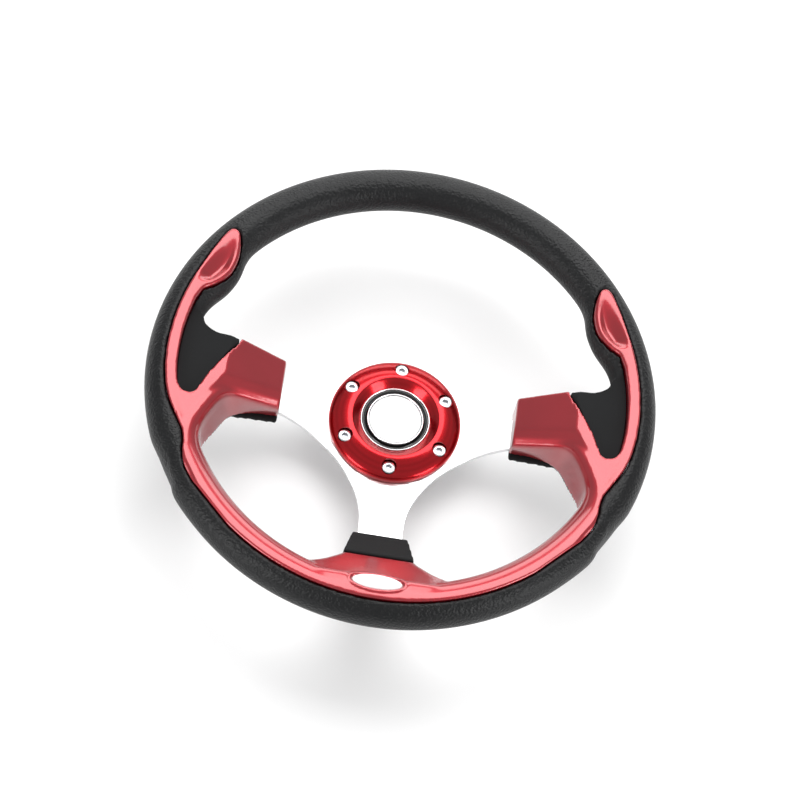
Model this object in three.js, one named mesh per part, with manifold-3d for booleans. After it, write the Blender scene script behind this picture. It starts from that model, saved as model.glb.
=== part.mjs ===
// A three-spoke sport steering wheel with a foam rim, a let-in trim moulding and a horn button.
// Millimetres. The origin is the centre of the hub's rear face, +Z is the steering axis towards the
// driver and +Y is 12 o'clock. The wheel is the same on its left and its right.
import * as THREE from 'three';
import { mergeVertices } from 'three/addons/utils/BufferGeometryUtils.js';
import Module from 'manifold-3d';

const wasm = await Module();
wasm.setup();

// ---------------------------------------------------------------- driving dimensions
const GAP = 0.3; // clearance kept between touching pieces
const FAR = 90; // a height above everything, for cutting tools

// rim
const WHEEL_R = 160; // outside radius
const TUBE_R = 13.5; // radius of the round section
const RIM_R = WHEEL_R - TUBE_R; // radius of the section's centre line
const RIM_Z = 50; // height of the rim's middle plane over the hub's rear face (the dish)
const BUMP = 6.8; // how far a thumb bump swells inwards
const BUMP_AT = 25; // degrees above 3 and 9 o'clock
const BUMP_SPREAD = 6.5; // degrees
const POCKET_Z = 57.5; // floor of the thumb pockets

// steel ring inside the foam
const CORE_R = 149;
const CORE_WIRE_R = 5;
const CORE_Z = 48;

// spoke plate
const PLATE = 3; // thickness
const HUB_R = 46; // flat middle disc
const BORE_R = 22.4; // hole for the horn button
const BEND_R = 46; // the arms bend up here
const SLOPE = 0.37; // rise of an arm per mm of reach
const TIP_R = 147.5;
const SIDE_ARM = 10.2; // half widths
const LOWER_ARM = 14;
const ARM_FILLET = 36; // radius of the web between a side arm and the top of the hub disc

// hub screws
const SCREWS = 6;
const SCREW_CIRCLE_R = 35;
const SCREW_R = 2.5;
const SCREW_HEAD_R = 4.25;
const SCREW_HEAD = 4.5;
const SCREW_TIP_Z = -9;

// clamp ring
const RING_R = 42.5;
const RING_TOP = 13;
const SEAT_Z = 4.9; // floor of the counterbores
const COUNTERBORE_R = 4.8;
const PLATE_HOLE_R = 3; // the screws' holes in the spoke plate

// trim moulding
const TRIM_PROUD = 0.8;
const TRIM_WALL = 3;
const TRIM_R = 148.2; // outer edge
const STRIP_R = 140.2; // inner edge of the side strips
const PARTING_Z = 45; // lower edge of the trim on the lower half of the rim
const STRIP_PARTING_Z = 54; // and on the strips and teardrops

// spoke covers
const COVER_IN = 74; // inner end
const COVER_PAD = 4; // foam behind the plate
const COVER_SCREWS = [87, 108];
const BOSS_R = 4;

// oval badge at 6 o'clock and the recess that it lies in
const BADGE_R = 137; // distance of its middle from the axis
const RECESS = [15.5, 5]; // half length and half width
const RECESS_Z = 61; // floor of the recess
const BADGE = 1; // thickness
const BADGE_PLAY = 0.4; // gap round its edge

// horn button
const HORN_TRAVEL = 2;
const HOUSING_R = 22;
const HOUSING_WALL_R = 19.6; // inside
const HOUSING_FOOT_R = 20.2; // inside, below the base
const LIP_R = 18.5;
const CAP_R = 16.8;
const BASE_Z = -9.7; // top of the base plate
const SPRING_R = 8;
const SPRING_WIRE_R = 0.6;
const SPRING_TURNS = 5;

// the three arms: name, direction in degrees, half width
const RIGHT = { name: 'right', turn: 0, half: SIDE_ARM };
const LEFT = { name: 'left', turn: 180, half: SIDE_ARM };
const LOWER = { name: 'lower', turn: -90, half: LOWER_ARM };

// ---------------------------------------------------------------- small tools
const rad = THREE.MathUtils.degToRad;
const plateZ = (r) => Math.max(0, SLOPE * (r - BEND_R)); // rear face of the plate at radius r

function solid(geometry) {
  const bare = geometry.clone();
  bare.deleteAttribute('normal');
  bare.deleteAttribute('uv');
  const merged = mergeVertices(bare, 1e-4);
  return new wasm.Manifold(new wasm.Mesh({
    numProp: 3,
    vertProperties: new Float32Array(merged.attributes.position.array),
    triVerts: new Uint32Array(merged.index.array),
  }));
}

// A profile of [r, z] points, turned about Z. It runs anticlockwise and closes on itself or the axis.
function turned(profile, segments = 48) {
  const points = profile.map(([r, z]) => new THREE.Vector2(r, z));
  return new THREE.LatheGeometry(points, segments).rotateX(Math.PI / 2);
}

function ringProfile(inner, outer, low, high) {
  return [[inner, low], [outer, low], [outer, high], [inner, high], [inner, low]];
}

// A plan outline of [x, y] points, raised from one height to another.
function raised(points, low, high) {
  const shape = new THREE.Shape(points.map(([x, y]) => new THREE.Vector2(x, y)));
  return new THREE.ExtrudeGeometry(shape, { depth: high - low, bevelEnabled: false }).translate(0, 0, low);
}

// A side view of [r, z] points, given a width across the arm and turned to the arm's direction.
function acrossArm(points, half, turn) {
  return raised(points, -half, half).rotateX(Math.PI / 2).rotateZ(rad(turn));
}

function cylinder(r, low, high, segments = 12) {
  return new THREE.CylinderGeometry(r, r, high - low, segments).rotateX(Math.PI / 2)
    .translate(0, 0, (low + high) / 2);
}

function arc(r, from, to, steps) {
  return Array.from({ length: steps + 1 }, (_, i) => {
    const a = rad(from + ((to - from) * i) / steps);
    return [r * Math.cos(a), r * Math.sin(a)];
  });
}

function smooth(points, steps) {
  const curve = new THREE.SplineCurve(points.map(([x, y]) => new THREE.Vector2(x, y)));
  return curve.getPoints(steps).map((p) => [p.x, p.y]);
}

// An anticlockwise outline with each corner moved out by d, or in if d is negative.
function grown(points, d) {
  return points.map(([x, y], i) => {
    const [ax, ay] = points[(i + points.length - 1) % points.length];
    const [bx, by] = points[(i + 1) % points.length];
    const before = new THREE.Vector2(x - ax, y - ay).normalize();
    const after = new THREE.Vector2(bx - x, by - y).normalize();
    const out = new THREE.Vector2(before.y + after.y, -before.x - after.x).normalize();
    const reach = d / Math.max(0.5, out.x * before.y - out.y * before.x);
    return [x + out.x * reach, y + out.y * reach];
  });
}

const flipped = (points) => points.map(([x, y]) => [-x, y]).reverse();

// Local axes on an arm: the origin on the plate's rear face, z square to the plate, x up the arm.
function onArm(geometry, arm, reach, side = 0) {
  return geometry.clone().rotateY(-Math.atan(SLOPE)).translate(reach, side, plateZ(reach))
    .rotateZ(rad(arm.turn));
}

const union = (list) => list.reduce((a, b) => a.add(b));
const cut = (body, tools) => tools.reduce((a, b) => a.subtract(b), body);

// ---------------------------------------------------------------- spoke plate
// Radius of the lower web: the arc that touches the hub disc, a side arm and the lower arm.
// It solves (LOWER_ARM + R)^2 + (SIDE_ARM + R)^2 = (HUB_R + R)^2.
function lowerWebRadius() {
  const b = LOWER_ARM + SIDE_ARM - HUB_R;
  const c = LOWER_ARM ** 2 + SIDE_ARM ** 2 - HUB_R ** 2;
  return -b + Math.sqrt(b * b - c);
}

// The upper web touches the hub disc and the side arm, so every hub screw has metal all round it.
function spokeOutline() {
  const reachOut = HUB_R + ARM_FILLET;
  const above = Math.asin((SIDE_ARM + ARM_FILLET) / reachOut);
  const upper = [reachOut * Math.cos(above), SIDE_ARM + ARM_FILLET];
  const webR = lowerWebRadius();
  const web = [LOWER_ARM + webR, -(SIDE_ARM + webR)];
  const about = ([cx, cy], r, from, to, steps) => (
    arc(r, from, to, steps).map(([x, y]) => [x + cx, y + cy]));
  const right = [
    [0, -TIP_R], [LOWER_ARM, -TIP_R],
    ...about(web, webR, 180, 90, 14),
    [TIP_R, -SIDE_ARM], [TIP_R, SIDE_ARM],
    ...about(upper, ARM_FILLET, -90, -180 + THREE.MathUtils.radToDeg(above), 8),
    ...arc(HUB_R, THREE.MathUtils.radToDeg(above) + 8, 90, 6),
  ];
  return [...right, ...flipped(right.slice(1, -1))];
}

function armBand(arm, grow, half) {
  const tip = TIP_R + grow;
  const thick = PLATE * Math.hypot(1, SLOPE);
  const profile = [
    [0, -grow], [BEND_R, -grow], [tip, plateZ(tip) - grow],
    [tip, plateZ(tip) + thick + grow], [BEND_R, PLATE + grow], [0, PLATE + grow],
  ];
  return solid(acrossArm(profile, half, arm.turn));
}

function oval(growth, steps = 24) {
  const [a, b] = RECESS;
  return Array.from({ length: steps }, (_, i) => {
    const t = (2 * Math.PI * i) / steps;
    return [(a + growth) * Math.cos(t), -BADGE_R + (b + growth) * Math.sin(t)];
  });
}

function spokePlate(grow = 0) {
  const plan = solid(raised(grown(spokeOutline(), grow), -FAR, FAR));
  const bands = union([RIGHT, LEFT, LOWER].map((arm) => armBand(arm, grow, BEND_R)));
  return plan.intersect(bands);
}

// ---------------------------------------------------------------- steel ring and its fixings
const RIVET_REACH = 137;
const RIVET_SIDE = 5.5; // to either side of the arm's middle
const RIVETS = [RIGHT, LEFT, LOWER].flatMap((arm) => (
  [RIVET_SIDE, -RIVET_SIDE].map((side) => [arm, RIVET_REACH, side])));
const TAB = 2; // thickness of the tabs under the ring
const TAB_LENGTH = 23;
const TAB_HALF = 9.5; // half width
const TAB_REACH = 140; // middle of a tab
const PLATE_TOP = PLATE + GAP; // local height at which something lies on the plate

function tab(arm, grow) {
  const plate = new THREE.BoxGeometry(TAB_LENGTH + 2 * grow, 2 * (TAB_HALF + grow), TAB + 2 * grow);
  return solid(onArm(plate.translate(0, 0, PLATE_TOP + TAB / 2), arm, TAB_REACH));
}

function rimCore(grow = 0) {
  const wire = CORE_WIRE_R + grow;
  const section = arc(wire, 0, 360, 6).map(([x, y]) => [CORE_R + x, CORE_Z + y]);
  return union([solid(turned(section, 40)), ...[RIGHT, LEFT, LOWER].map((arm) => tab(arm, grow))]);
}

// A rivet: a shank with a low head behind the plate and another on the tab.
const RIVET_R = 1.8;
function rivet(grow = 0) {
  const top = PLATE_TOP + TAB + GAP;
  const [r, head, low] = [RIVET_R + grow, 3 + grow, 1 + grow];
  return turned([
    [0, -GAP - low], [head, -GAP - low], [head, -GAP + grow], [r, -GAP + grow],
    [r, top - grow], [head, top - grow], [head, top + low], [0, top + low],
  ], 10);
}

const rivetHole = ([arm, reach, side]) => (
  solid(onArm(cylinder(RIVET_R + GAP, -9, 9, 10), arm, reach, side)));

// A self-tapping screw with a pan head behind the plate.
const COVER_SCREW_R = 1.6;
const COVER_SCREW_HOLE_R = COVER_SCREW_R + 0.5;
const PAN_HEAD_R = 3.4;
const PAN_HEAD = 2.2; // height of the head
const ACCESS_R = 4; // hole in the foam behind each of them
function coverScrew(grow = 0) {
  const [r, head, low] = [COVER_SCREW_R + grow, PAN_HEAD_R + grow, PAN_HEAD + grow];
  return turned([
    [0, -GAP - low], [head, -GAP - low], [head, -GAP + grow], [r, -GAP + grow],
    [r, 12.5 + grow], [0, 14 + grow],
  ], 10);
}

const COVER_SCREW_PLACES = [RIGHT, LEFT].flatMap((arm) => COVER_SCREWS.map((reach) => [arm, reach, 0]));

// ---------------------------------------------------------------- body of the rim
// The round rim, with the thumb bumps drawn inwards from the section's inner side.
function rimTube(inset) {
  const r = TUBE_R - inset;
  const section = arc(r, 0, 360, 12).map(([x, y]) => [RIM_R + x, RIM_Z + y]);
  const geometry = turned(section, 60);
  const spot = geometry.attributes.position;
  for (let i = 0; i < spot.count; i += 1) {
    const [x, y] = [spot.getX(i), spot.getY(i)];
    const reach = Math.hypot(x, y);
    const angle = THREE.MathUtils.radToDeg(Math.atan2(y, Math.abs(x)));
    const inward = Math.max(0, (RIM_R - reach) / TUBE_R);
    const move = BUMP * inward * Math.exp(-(((angle - BUMP_AT) / BUMP_SPREAD) ** 2));
    spot.setXY(i, x * (1 - move / reach), y * (1 - move / reach));
  }
  return solid(geometry);
}

// Plan of a spoke cover with the foam web behind it, for the right-hand arm.
const COVER_PLAN = [
  [COVER_IN, -16.5], [104, -23.5], [109, -27.6], [113, -34.5], [117, -44], [119.5, -54],
  [140, -38], [149, -20], [150, 0], [149, 20], [138, 33], [129, 24], [128, 20], [123, 16.5],
  [118, 15.5], [COVER_IN, 15.5],
];
// Its side view, from the low inner end up to the crest and out to the rim.
const COVER_CREST = [110, 59];
const COVER_SIDE = [
  [COVER_IN, plateZ(COVER_IN) - COVER_PAD], [143, plateZ(143) - COVER_PAD], [150, 37], [150, 60],
  [146, 62], [128, 61], COVER_CREST, [COVER_IN, 34.5],
];

function coverBody(arm, inset) {
  const plan = grown(COVER_PLAN, -inset);
  const outline = arm === LEFT ? flipped(plan) : plan;
  const side = grown(COVER_SIDE, -inset);
  return solid(raised(outline, -FAR, FAR)).intersect(solid(acrossArm(side, 80, arm.turn)));
}

// The collar and gusset over the lower arm: half widths at each radius, then the side view.
const COLLAR_IN = 88;
const COLLAR_OUT = 110.5; // the seam between the black collar and the trim
const GUSSET_HALF = [
  [COLLAR_IN, 17.3], [COLLAR_OUT, 22], [116, 27], [120, 31.5], [123.5, 37], [127, 45], [140, 42],
  [150, 34],
];
const GUSSET_SIDE = [
  [COLLAR_IN, plateZ(COLLAR_IN) - 3], [143, plateZ(143) - COVER_PAD], [150, 37], [150, 60], [146, 62],
  [134, 62], [111, 39.5], [COLLAR_IN, 21.5],
];

function gussetBody(inset) {
  const right = GUSSET_HALF.map(([r, half]) => [half, -r]).reverse();
  const plan = grown([...right, ...flipped(right)], -inset);
  const side = grown(GUSSET_SIDE, -inset);
  return solid(raised(plan, -FAR, FAR)).intersect(solid(acrossArm(side, 80, LOWER.turn)));
}

function body(inset) {
  return union([rimTube(inset), coverBody(RIGHT, inset), coverBody(LEFT, inset), gussetBody(inset)]);
}

// ---------------------------------------------------------------- trim moulding
// Plan of the right half of the trim, from 6 o'clock round its outer edge to the teardrop's tip,
// back down its inner edge, round the thumb pocket and over the spoke cover.
const TRIM_RIGHT = [
  ...arc(TRIM_R, -88, -48, 9),
  ...smooth([[117.6, -91], [124.2, -81.5], [127, -72], [128, -63.5], [129.6, -57.5]], 8),
  ...smooth([[135, -48.5], [140.8, -38.5], [144.6, -28]], 4),
  ...arc(TRIM_R - 0.4, -6, 24, 9),
  ...smooth([[131, 70.5], [127.5, 78], [124.5, 84.2], [122.5, 87], [119.5, 88], [117, 86.5]], 9),
  ...smooth([[115.2, 83], [114, 75], [114.4, 67], [117.6, 57], [124.5, 48.5], [132.5, 42]], 10),
  ...arc(STRIP_R, 14, -6, 7),
  ...smooth([[138, -24], [136, -28.5], [132.5, -31], [129, -31], [126, -29], [124.3, -25]], 7),
  ...smooth([[121.8, -17.5], [118.5, -10.5], [109, 5], [105, 11]], 5),
  [104.5, 22], [COVER_IN - 2, 22], [COVER_IN - 2, -25], [100, -31], [108, -37], [112, -47],
  ...arc(123, -27, -70, 8),
  [27, -114], [26, -COLLAR_OUT],
];
const POCKET_RIGHT = [
  [130, -33], ...arc(TRIM_R - 4, -12, 15, 5), [122, 36], [104.9, 22], [104.9, 11], [109, 5],
  [118.5, -10.5], [124.3, -25],
];

// The space that belongs to the trim: everything inside its outline and above the parting surface.
function trimZone(grow) {
  const outline = grown([...TRIM_RIGHT, ...flipped(TRIM_RIGHT)], grow);
  const column = (low) => solid(raised(outline, low, FAR));
  const coverSide = grown([
    [COVER_IN - 3, plateZ(COVER_IN - 3)], [105, plateZ(105)], [122, PARTING_Z], [122, FAR],
    [COVER_IN - 3, FAR],
  ], grow);
  const gussetSide = grown([[COLLAR_OUT, 34], [128, PARTING_Z], [128, FAR], [COLLAR_OUT, FAR]], grow);
  const lowerHalf = solid(raised([[-FAR * 2, -FAR * 2], [FAR * 2, -FAR * 2], [FAR * 2, 25], [-FAR * 2, 25]],
    -FAR, FAR));
  const covers = [RIGHT, LEFT].map((arm) => (
    column(-FAR).intersect(solid(acrossArm(coverSide, 60, arm.turn))).intersect(lowerHalf)));
  const gusset = column(0).intersect(solid(acrossArm(gussetSide, 45, LOWER.turn)));
  const bead = column(PARTING_Z - grow).intersect(lowerHalf.translate(0, -50, 0));
  return union([column(STRIP_PARTING_Z - grow), bead, ...covers, gusset]);
}

// A shallow scoop in each teardrop.
function scoops() {
  const bowl = new THREE.SphereGeometry(1, 12, 8).scale(5, 17, 3).rotateZ(rad(18));
  return [1, -1].map((side) => solid(
    (side > 0 ? bowl.clone() : bowl.clone().rotateZ(rad(-36))).translate(side * 122, 68, 64)));
}

function boss(arm, reach, grow) {
  return solid(onArm(cylinder(BOSS_R + grow, PLATE_TOP - grow, 60), arm, reach));
}

function trimInlay() {
  const shell = body(-TRIM_PROUD).intersect(trimZone(0)).subtract(body(TRIM_WALL - TRIM_PROUD));
  const inside = body(1).intersect(trimZone(0));
  const bosses = COVER_SCREW_PLACES.map(([arm, reach]) => boss(arm, reach, 0).intersect(inside));
  const tools = [
    ...scoops(), solid(raised(oval(0), RECESS_Z, FAR)), spokePlate(GAP),
    ...COVER_SCREW_PLACES.map(([arm, reach]) => solid(onArm(coverScrew(GAP), arm, reach))),
  ];
  return cut(union([shell, ...bosses]), tools);
}

// The blank badge lies in the recess with a thin layer of glue under it.
const ovalBadge = () => raised(oval(-BADGE_PLAY), RECESS_Z + GAP, RECESS_Z + GAP + BADGE);

// ---------------------------------------------------------------- foam rim
function rimGrip() {
  const under = body(TRIM_WALL - TRIM_PROUD + GAP);
  const open = body(0).subtract(trimZone(GAP));
  const pockets = [POCKET_RIGHT, flipped(POCKET_RIGHT)].map((plan) => solid(raised(plan, POCKET_Z, FAR)));
  const tools = [
    spokePlate(GAP), rimCore(GAP),
    ...RIVETS.map(([arm, reach, side]) => solid(onArm(rivet(GAP), arm, reach, side))),
    ...COVER_SCREW_PLACES.flatMap(([arm, reach]) => [
      boss(arm, reach, GAP),
      solid(onArm(coverScrew(GAP), arm, reach)),
      solid(onArm(cylinder(ACCESS_R, -12, -0.1), arm, reach)),
    ]),
  ];
  return cut(cut(open, pockets).add(under), tools);
}

// ---------------------------------------------------------------- hub
const screwAngles = Array.from({ length: SCREWS }, (_, i) => 90 - (360 / SCREWS) * i);
const atScrew = (geometry, angle) => geometry.clone()
  .translate(SCREW_CIRCLE_R * Math.cos(rad(angle)), SCREW_CIRCLE_R * Math.sin(rad(angle)), 0);

function hubRing() {
  const under = PLATE + GAP;
  const ring = solid(turned([
    [26.3, under], [RING_R, under], [RING_R, 6.6], [42, 7.4], [40, 8.8], [37, 10.4], [34, 11.7],
    [31, 12.6], [28.8, RING_TOP], [27.6, 12.8], [22.6, 8.6], [22.6, 5.9], [26.3, 5.9], [26.3, under],
  ], 40));
  const seat = cylinder(COUNTERBORE_R, SEAT_Z, FAR, 14);
  const hole = cylinder(SCREW_R + GAP, -FAR, FAR, 10);
  return cut(ring, screwAngles.flatMap((a) => [solid(atScrew(seat, a)), solid(atScrew(hole, a))]));
}

function hubScrew(angle) {
  const low = SEAT_Z + GAP;
  const blank = solid(turned([
    [0, SCREW_TIP_Z], [SCREW_R - 0.5, SCREW_TIP_Z], [SCREW_R, SCREW_TIP_Z + 0.6], [SCREW_R, low],
    [SCREW_HEAD_R, low], [SCREW_HEAD_R, low + SCREW_HEAD - 0.5], [SCREW_HEAD_R - 0.5, low + SCREW_HEAD],
    [0, low + SCREW_HEAD],
  ], 14));
  const socket = solid(cylinder(2.31, low + SCREW_HEAD - 2.5, FAR, 6));
  return blank.subtract(socket).translate(
    SCREW_CIRCLE_R * Math.cos(rad(angle)), SCREW_CIRCLE_R * Math.sin(rad(angle)), 0);
}

function spokeFrame() {
  const hole = cylinder(PLATE_HOLE_R, -FAR, FAR, 12);
  return cut(spokePlate(), [
    solid(cylinder(BORE_R, -FAR, FAR, 40)),
    ...screwAngles.map((a) => solid(atScrew(hole, a))),
    ...RIVETS.map(rivetHole),
    ...COVER_SCREW_PLACES.map(([arm, reach]) => (
      solid(onArm(cylinder(COVER_SCREW_HOLE_R, -9, 9, 10), arm, reach)))),
  ]);
}

// ---------------------------------------------------------------- horn button
const hornHousing = () => turned([
  [HOUSING_FOOT_R, -14], [HOUSING_R, -14], [HOUSING_R, 3.3], [26, 3.3], [26, 5.6], [HOUSING_R, 5.6],
  [HOUSING_R, 7], [21, 7], [21, 8.2], [LIP_R, 7.2], [LIP_R, 6.2], [HOUSING_WALL_R, 6.2],
  [HOUSING_WALL_R, BASE_Z + GAP], [HOUSING_FOOT_R, BASE_Z + GAP], [HOUSING_FOOT_R, -12],
  [21, -12], [21, -13], [HOUSING_FOOT_R, -13], [HOUSING_FOOT_R, -14],
], 32);
const hornBezel = () => turned([
  [21.3, 7.3], [22.3, 7.3], [22.3, 8.5], [22, 8.9], [21.6, 8.9], [21.3, 8.6], [21.3, 7.3],
], 32);
const hornPlunger = () => turned([
  [0, 6.5], [11, 6.5], [11, 3.4], [19.2, 3.4], [19.2, 5.9], [18.1, 5.9], [18.1, 7.9], [0, 7.9],
], 28);
const hornCap = () => turned([
  [0, 8.2], [CAP_R, 8.2], [CAP_R, 8.8], [15.5, 9.5], [12, 10.4], [7, 11], [0, 11.3],
], 28);
const hornCapRing = () => turned([
  [CAP_R + GAP, 8.2], [18.1, 8.2], [18.1, 9], [17.8, 9.3], [CAP_R + GAP, 9.1], [CAP_R + GAP, 8.2],
], 28);
const CONTACT_Z = 2.3; // underside of the moving contact
const hornContactUpper = () => turned(ringProfile(12.5, 16.5, CONTACT_Z, CONTACT_Z + 0.8), 24);
const hornContactLower = () => turned(
  ringProfile(12.5, 16.5, CONTACT_Z - HORN_TRAVEL - 1, CONTACT_Z - HORN_TRAVEL - 0.2), 24);

const TERMINAL_X = 11;
function hornBase() {
  const plate = solid(turned([
    [0, BASE_Z - 2], [19.9, BASE_Z - 2], [19.9, BASE_Z], [16, BASE_Z], [16, -1], [13, -1], [13, BASE_Z],
    [0, BASE_Z],
  ], 24));
  const slot = new THREE.BoxGeometry(1.4, 6.9, 10);
  return cut(plate, [1, -1].map((side) => solid(slot.clone().translate(side * TERMINAL_X, 0, BASE_Z))));
}

// A split ring in the housing's groove that keeps the base in.
function hornSnapRing() {
  const ring = solid(turned(ringProfile(18, 20.6, -12.7, -12.1), 24));
  return ring.subtract(solid(new THREE.BoxGeometry(8, 9, 4).translate(0, -19.5, -12.4)));
}

// A 6.3 mm spade blade whose shoulders rest on the base.
function hornTerminal(side) {
  const blade = [
    [-3.15, -20], [-1.9, -22], [1.9, -22], [3.15, -20], [3.15, BASE_Z + GAP], [3.9, BASE_Z + GAP],
    [3.9, BASE_Z + 2], [-3.9, BASE_Z + 2], [-3.9, BASE_Z + GAP], [-3.15, BASE_Z + GAP],
  ];
  return acrossArm(blade, 0.4, 90).translate(side * TERMINAL_X, 0, 0);
}

// The coil stands between the base and the plunger's hollow.
class Helix extends THREE.Curve {
  getPoint(t, target = new THREE.Vector3()) {
    const a = 2 * Math.PI * SPRING_TURNS * t;
    const low = BASE_Z + GAP + SPRING_WIRE_R;
    const high = 6.5 - GAP - SPRING_WIRE_R;
    return target.set(SPRING_R * Math.cos(a), SPRING_R * Math.sin(a), low + (high - low) * t);
  }
}
function hornSpring() {
  const wire = new THREE.Shape(arc(SPRING_WIRE_R, 0, 300, 5).map(([x, y]) => new THREE.Vector2(x, y)));
  return new THREE.ExtrudeGeometry(wire, {
    steps: SPRING_TURNS * 10, extrudePath: new Helix(), bevelEnabled: false,
  });
}

// ---------------------------------------------------------------- finishes and assembly
const finish = (color, roughness, metalness) => ({ color, roughness, metalness });
const ALUMINIUM = finish(0xe9eaec, 0.3, 1);
const STEEL = finish(0xb9bcc0, 0.4, 1);
const FOAM = finish(0x242627, 0.75, 0);
const CANDY_RED = finish(0xb3162c, 0.28, 0.35);
const ANODISED_RED = finish(0xb5121f, 0.25, 0.6);
const CHROME = finish(0xe6e7ea, 0.08, 1);
const BLACK_PLASTIC = finish(0x141414, 0.2, 0);
const DARK_PLASTIC = finish(0x2a2a2a, 0.6, 0);
const WHITE_PLASTIC = finish(0xf7f7f7, 0.2, 0);
const BRASS = finish(0xc9a253, 0.35, 1);

const wheel = new THREE.Group();

function addPiece(name, shape, look) {
  let geometry = shape;
  if (!shape.isBufferGeometry) {
    const data = shape.getMesh();
    geometry = new THREE.BufferGeometry();
    geometry.setAttribute('position', new THREE.BufferAttribute(data.vertProperties, 3));
    geometry.setIndex(new THREE.BufferAttribute(data.triVerts, 1));
  }
  const mesh = new THREE.Mesh(geometry, new THREE.MeshStandardMaterial(look));
  mesh.name = name;
  wheel.add(mesh);
}

addPiece('spoke_frame', spokeFrame(), ALUMINIUM);
addPiece('rim_core', cut(rimCore(), RIVETS.map(rivetHole)), STEEL);
addPiece('rim_grip', rimGrip(), FOAM);
addPiece('trim_inlay', trimInlay(), CANDY_RED);
addPiece('oval_badge', ovalBadge(), WHITE_PLASTIC);
addPiece('hub_ring', hubRing(), ANODISED_RED);
screwAngles.forEach((angle, i) => addPiece(`hub_screw_${i + 1}`, hubScrew(angle), STEEL));
RIVETS.forEach(([arm, reach, side]) => addPiece(
  `spoke_rivet_${arm.name}_${side > 0 ? 1 : 2}`, onArm(rivet(), arm, reach, side), STEEL));
COVER_SCREW_PLACES.forEach(([arm, reach], i) => addPiece(
  `cover_screw_${arm.name}_${(i % 2) + 1}`, onArm(coverScrew(), arm, reach), STEEL));
addPiece('horn_housing', hornHousing(), BLACK_PLASTIC);
addPiece('horn_bezel', hornBezel(), CHROME);
addPiece('horn_cap', hornCap(), WHITE_PLASTIC);
addPiece('horn_cap_ring', hornCapRing(), CHROME);
addPiece('horn_plunger', hornPlunger(), DARK_PLASTIC);
addPiece('horn_contact_upper', hornContactUpper(), BRASS);
addPiece('horn_contact_lower', hornContactLower(), BRASS);
addPiece('horn_spring', hornSpring(), STEEL);
addPiece('horn_base', hornBase(), DARK_PLASTIC);
addPiece('horn_snap_ring', hornSnapRing(), STEEL);
addPiece('horn_terminal_signal', hornTerminal(1), BRASS);
addPiece('horn_terminal_ground', hornTerminal(-1), BRASS);

export default wheel;
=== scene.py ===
# %% [markdown]
# # A three-spoke sport steering wheel
# The wheel has a foam rim with a lacquered trim let into it, a bent aluminium spoke plate, a turned
# hub ring held by six cap screws, and a horn button in the middle. The fixed model comes first,
# because every piece below is placed by its sizes. All shaping is done in millimetres, round the
# steering axis, and each finished mesh is brought to metres at the end.

# %% Load the fixed model
import math

import bmesh
import bpy
from mathutils import Matrix, Vector


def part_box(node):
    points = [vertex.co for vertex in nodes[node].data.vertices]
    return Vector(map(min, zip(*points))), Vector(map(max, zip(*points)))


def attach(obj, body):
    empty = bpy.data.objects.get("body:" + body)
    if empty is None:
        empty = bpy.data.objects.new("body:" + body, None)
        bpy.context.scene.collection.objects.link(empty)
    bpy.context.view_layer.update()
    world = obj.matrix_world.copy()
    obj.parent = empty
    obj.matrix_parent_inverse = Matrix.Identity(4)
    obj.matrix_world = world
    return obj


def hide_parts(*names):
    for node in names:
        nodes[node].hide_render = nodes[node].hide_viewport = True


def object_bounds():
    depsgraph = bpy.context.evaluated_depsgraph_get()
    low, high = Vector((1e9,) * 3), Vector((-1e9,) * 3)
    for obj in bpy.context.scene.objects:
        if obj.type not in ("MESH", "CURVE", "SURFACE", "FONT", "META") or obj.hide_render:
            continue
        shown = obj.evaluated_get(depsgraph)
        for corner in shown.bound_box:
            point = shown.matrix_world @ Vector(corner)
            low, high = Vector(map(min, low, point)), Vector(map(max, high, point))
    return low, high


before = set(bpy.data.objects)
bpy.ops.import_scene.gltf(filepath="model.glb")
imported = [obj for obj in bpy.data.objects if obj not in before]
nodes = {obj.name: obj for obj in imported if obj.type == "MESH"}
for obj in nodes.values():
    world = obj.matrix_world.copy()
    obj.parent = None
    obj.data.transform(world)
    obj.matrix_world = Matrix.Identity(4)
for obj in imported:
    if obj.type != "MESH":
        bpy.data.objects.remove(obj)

cad_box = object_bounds()
print("CAD box", [[round(v, 4) for v in corner] for corner in cad_box])

# %% [markdown]
# ## The camera
# It looks down on the wheel from the driver's side, a little to the left, with a long lens, so the
# round rim shows as a gentle ellipse. The three directions are those of the camera's own axes.

# %% Camera
scene = bpy.context.scene
camera = bpy.data.objects.new("camera", bpy.data.cameras.new("camera"))
scene.collection.objects.link(camera)
scene.camera = camera
camera_right = Vector((0.98648, 0.11968, 0.11194))
camera_up = Vector((-0.15823, 0.87337, 0.46064))
camera_back = Vector((-0.04263, -0.47213, 0.88050))
camera_turn = Matrix((camera_right, camera_up, camera_back)).transposed().to_4x4()
camera.matrix_world = Matrix.Translation((-0.06152, -0.68169, 1.30674)) @ camera_turn
camera.data.lens = 103.41
camera.data.sensor_width = 36
camera.data.clip_start = 0.05
camera.data.clip_end = 50
print("camera height", round(camera.location.z, 3))

# %% [markdown]
# ## Helpers for shaping
# A piece starts as a bmesh, becomes an object, may be cut or joined with other shapes, and is then
# finished. These few functions are used by nearly every piece.

# %% A bmesh becomes an object
MM = 0.001


def workpiece(name, bm):
    """An object, still in millimetres, made from a bmesh."""
    mesh = bpy.data.meshes.new(name)
    bmesh.ops.recalc_face_normals(bm, faces=bm.faces)
    bm.to_mesh(mesh)
    bm.free()
    made = bpy.data.objects.new(name, mesh)
    scene.collection.objects.link(made)
    return made


def settle(piece):
    """The modifiers' result becomes the piece's own mesh."""
    shown = piece.evaluated_get(bpy.context.evaluated_depsgraph_get())
    mesh = bpy.data.meshes.new_from_object(shown)
    piece.modifiers.clear()
    piece.data = mesh


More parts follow.
